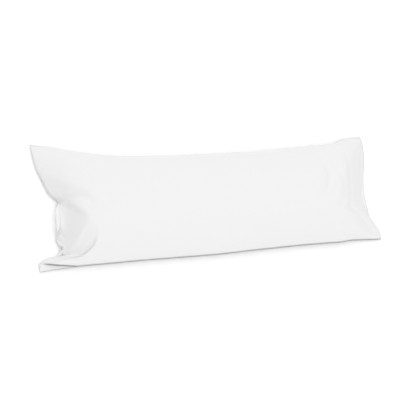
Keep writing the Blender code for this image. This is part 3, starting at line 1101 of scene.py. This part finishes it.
def line_object(name):
    """Both lines as one mesh of edges, with the direction out of the cloth as an attribute."""
    lines, outs = zip(stitch_line(0), stitch_line(1))
    edges, start = [], 0
    for line in lines:
        edges += [(start + i, start + i + 1) for i in range(len(line) - 1)]
        start += len(line)
    mesh = bpy.data.meshes.new(name)
    mesh.from_pydata(np.concatenate(lines).tolist(), edges, [])
    out = mesh.attributes.new("out", "FLOAT_VECTOR", "POINT")
    out.data.foreach_set("vector", np.concatenate(outs).astype(np.float32).ravel())
    return in_scene(name, mesh)


# %% Stitch tree
STITCH_INPUTS = {
    "Pitch": ("NodeSocketFloat", 0.0032),
    "Stitch length": ("NodeSocketFloat", 0.0026),
    "Thread": ("NodeSocketFloat", 0.00045),
    "Unevenness": ("NodeSocketFloat", 0.12),
    "Seed": ("NodeSocketInt", 7),
}
SPINDLE = {"Segments": 8, "Rings": 6, "Radius": 0.5}


def stitch_tree(thread):
    """Geometry Nodes that put one spindle of thread at each pitch along the lines."""
    tree = bpy.data.node_groups.new("stitches along a line", "GeometryNodeTree")
    tree.interface.new_socket("Geometry", in_out="INPUT", socket_type="NodeSocketGeometry")
    for label, (kind, value) in STITCH_INPUTS.items():
        tree.interface.new_socket(label, in_out="INPUT", socket_type=kind).default_value = value
    tree.interface.new_socket("Geometry", in_out="OUTPUT", socket_type="NodeSocketGeometry")

    given = tree.nodes.new("NodeGroupInput").outputs
    curve = new_node(tree, "GeometryNodeMeshToCurve", Mesh=given["Geometry"])
    spaced = tree.nodes.new("GeometryNodeResampleCurve")
    spaced.mode = "LENGTH"
    put(tree, spaced.inputs["Curve"], curve.outputs[0])
    put(tree, spaced.inputs["Length"], given["Pitch"])

    tangent = tree.nodes.new("GeometryNodeInputTangent")
    outwards = tree.nodes.new("GeometryNodeInputNamedAttribute")
    outwards.data_type = "FLOAT_VECTOR"
    outwards.inputs["Name"].default_value = "out"
    along = new_node(tree, "FunctionNodeAlignRotationToVector", Vector=tangent.outputs[0])
    along.axis = "X"
    flat = new_node(tree, "FunctionNodeAlignRotationToVector",
                    Rotation=along.outputs[0], Vector=outwards.outputs[0])
    flat.axis = "Z"
    flat.pivot_axis = "X"

    uneven = tree.nodes.new("FunctionNodeRandomValue")
    uneven.data_type = "FLOAT"
    limits = {socket.name: socket for socket in uneven.inputs if socket.type == "VALUE"}
    put(tree, limits["Min"], math_node(tree, "SUBTRACT", 1.0, given["Unevenness"]))
    put(tree, limits["Max"], 1.0)
    put(tree, uneven.inputs["Seed"], given["Seed"])
    share = next(socket for socket in uneven.outputs if socket.type == "VALUE")
    long = math_node(tree, "MULTIPLY", given["Stitch length"], share)
    size = new_node(tree, "ShaderNodeCombineXYZ", X=long, Y=given["Thread"], Z=given["Thread"])

    spindle = new_node(tree, "GeometryNodeMeshUVSphere", **SPINDLE)
    smooth = new_node(tree, "GeometryNodeSetShadeSmooth", Geometry=spindle.outputs[0])
    placed = new_node(tree, "GeometryNodeInstanceOnPoints", Points=spaced.outputs[0],
                      Instance=smooth.outputs[0], Rotation=flat.outputs[0], Scale=size.outputs[0])
    real = new_node(tree, "GeometryNodeRealizeInstances", Geometry=placed.outputs[0])
    finished = new_node(tree, "GeometryNodeSetMaterial", Geometry=real.outputs[0], Material=thread)
    leave = tree.nodes.new("NodeGroupOutput")
    tree.links.new(finished.outputs[0], leave.inputs[0])
    return tree


# %% Stitches as a plain mesh
def made_real(piece, name):
    """The evaluated piece as a plain mesh object, in place of the piece."""
    bpy.context.view_layer.update()
    evaluated = piece.evaluated_get(bpy.context.evaluated_depsgraph_get())
    mesh = bpy.data.meshes.new_from_object(evaluated)
    mesh.name = name
    kept = [material for material in mesh.materials if material]
    if len(kept) == 1:
        mesh.materials.clear()
        mesh.materials.append(kept[0])
        first_slot = np.zeros(len(mesh.polygons), dtype=np.int32)
        mesh.polygons.foreach_set("material_index", first_slot)
    piece.modifiers.clear()
    bpy.data.objects.remove(piece)
    return in_scene(name, mesh)


hem_lines = line_object("hem_lines")
thread = thread_material()
tree = stitch_tree(thread)
sewing = hem_lines.modifiers.new("sewing", "NODES")
sewing.node_group = tree
for item in tree.interface.items_tree:
    if item.in_out == "INPUT" and item.name in STITCH_INPUTS:
        sewing[item.identifier] = STITCH_INPUTS[item.name][1]
hem_stitches = made_real(hem_lines, "hem_stitches")
print("hem_stitches", len(hem_stitches.data.polygons), "faces, material",
      [m.name for m in hem_stitches.data.materials])

# %% [markdown]
# ## Who carries what
#
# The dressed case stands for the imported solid, which stays hidden for collision.

# %% Ride and replace
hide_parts("pillow")
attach(pillow_case, "root")
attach(hem_stitches, "root")

# %% [markdown]
# ## Studio
#
# White goods on white want very even light: the face should be just short of white, and the floor
# just past it. Nearly all of the light is the bright sky of the studio. It is darker towards both
# ends of the pillow, so that the folds there read, and a weak soft panel hangs overhead.

# %% Floor
FLOOR_SIDE = 80.0
FLOOR_FINISH = {
    "Base Color": (0.97, 0.97, 0.97, 1.0),
    "Roughness": 1.0,
    "Specular IOR Level": 0.0,
}


def studio_floor():
    """A plain matt white floor at the resting height."""
    mesh = bmesh.new()
    bmesh.ops.create_grid(mesh, x_segments=1, y_segments=1, size=FLOOR_SIDE / 2)
    data = bpy.data.meshes.new("studio_floor")
    mesh.to_mesh(data)
    mesh.free()
    data.materials.append(new_material("floor_white", FLOOR_FINISH)[0])
    return in_scene("studio_floor", data)


studio_floor()

# %% Light
SKY_STRENGTH = 1.44
DARKER_ENDS = 0.85
ENDS_POWER = 2.0
PANEL_PLACE = Vector((0.0, 0.0, 3.2))
PANEL_SIDE = 1.6
PANEL_WATTS = 5.0


def studio_sky():
    """A white sky, darker towards both ends of the pillow, as between two long light banks."""
    world = bpy.data.worlds.new("studio")
    world.use_nodes = True
    tree = world.node_tree
    background = tree.nodes["Background"]
    background.inputs["Color"].default_value = (1.0, 1.0, 1.0, 1.0)
    direction = tree.nodes.new("ShaderNodeTexCoord")
    parts = new_node(tree, "ShaderNodeSeparateXYZ", Vector=direction.outputs["Generated"])
    endways = math_node(tree, "POWER", math_node(tree, "ABSOLUTE", parts.outputs["X"]), ENDS_POWER)
    loss = math_node(tree, "MULTIPLY", endways, -DARKER_ENDS * SKY_STRENGTH)
    strength = math_node(tree, "ADD", loss, SKY_STRENGTH)
    put(tree, background.inputs["Strength"], math_node(tree, "MAXIMUM", strength, 0.0))
    bpy.context.scene.world = world


def studio_light():
    """The sky and one soft panel overhead."""
    studio_sky()
    panel = bpy.data.lights.new("soft_panel", "AREA")
    panel.size = PANEL_SIDE
    panel.energy = PANEL_WATTS
    lamp = in_scene("soft_panel", panel)
    lamp.location = PANEL_PLACE
    lamp.rotation_euler = (-PANEL_PLACE).to_track_quat("-Z", "Y").to_euler()
    bpy.context.scene.view_settings.view_transform = "Standard"


studio_light()

# %% Camera
CAMERA_AIM = Vector((-0.0331, -0.0517, 0.020))
CAMERA_DISTANCE = 3.398
CAMERA_ELEVATION = 66.37
CAMERA_AZIMUTH = 50.20
CAMERA_ROLL = 44.37
CAMERA_LENS = 70.0
SENSOR_WIDTH = 36.0


def photo_camera():
    """The camera at the photographed angle to the pillow's face."""
    elevation = np.radians(CAMERA_ELEVATION)
    azimuth = np.radians(CAMERA_AZIMUTH)
    level = np.cos(elevation)
    forward = Vector((np.sin(azimuth) * level, np.cos(azimuth) * level, -np.sin(elevation)))
    data = bpy.data.cameras.new("photo_camera")
    data.lens = CAMERA_LENS
    data.sensor_width = SENSOR_WIDTH
    camera = in_scene("photo_camera", data)
    turn = forward.to_track_quat("-Z", "Y").to_matrix()
    roll = Matrix.Rotation(np.radians(CAMERA_ROLL), 3, "Z")
    place = CAMERA_AIM + PLAN_SHIFT - forward * CAMERA_DISTANCE
    camera.matrix_world = Matrix.Translation(place) @ (turn @ roll).to_4x4()
    bpy.context.scene.camera = camera
    print("camera at", [round(v, 3) for v in place])


photo_camera()
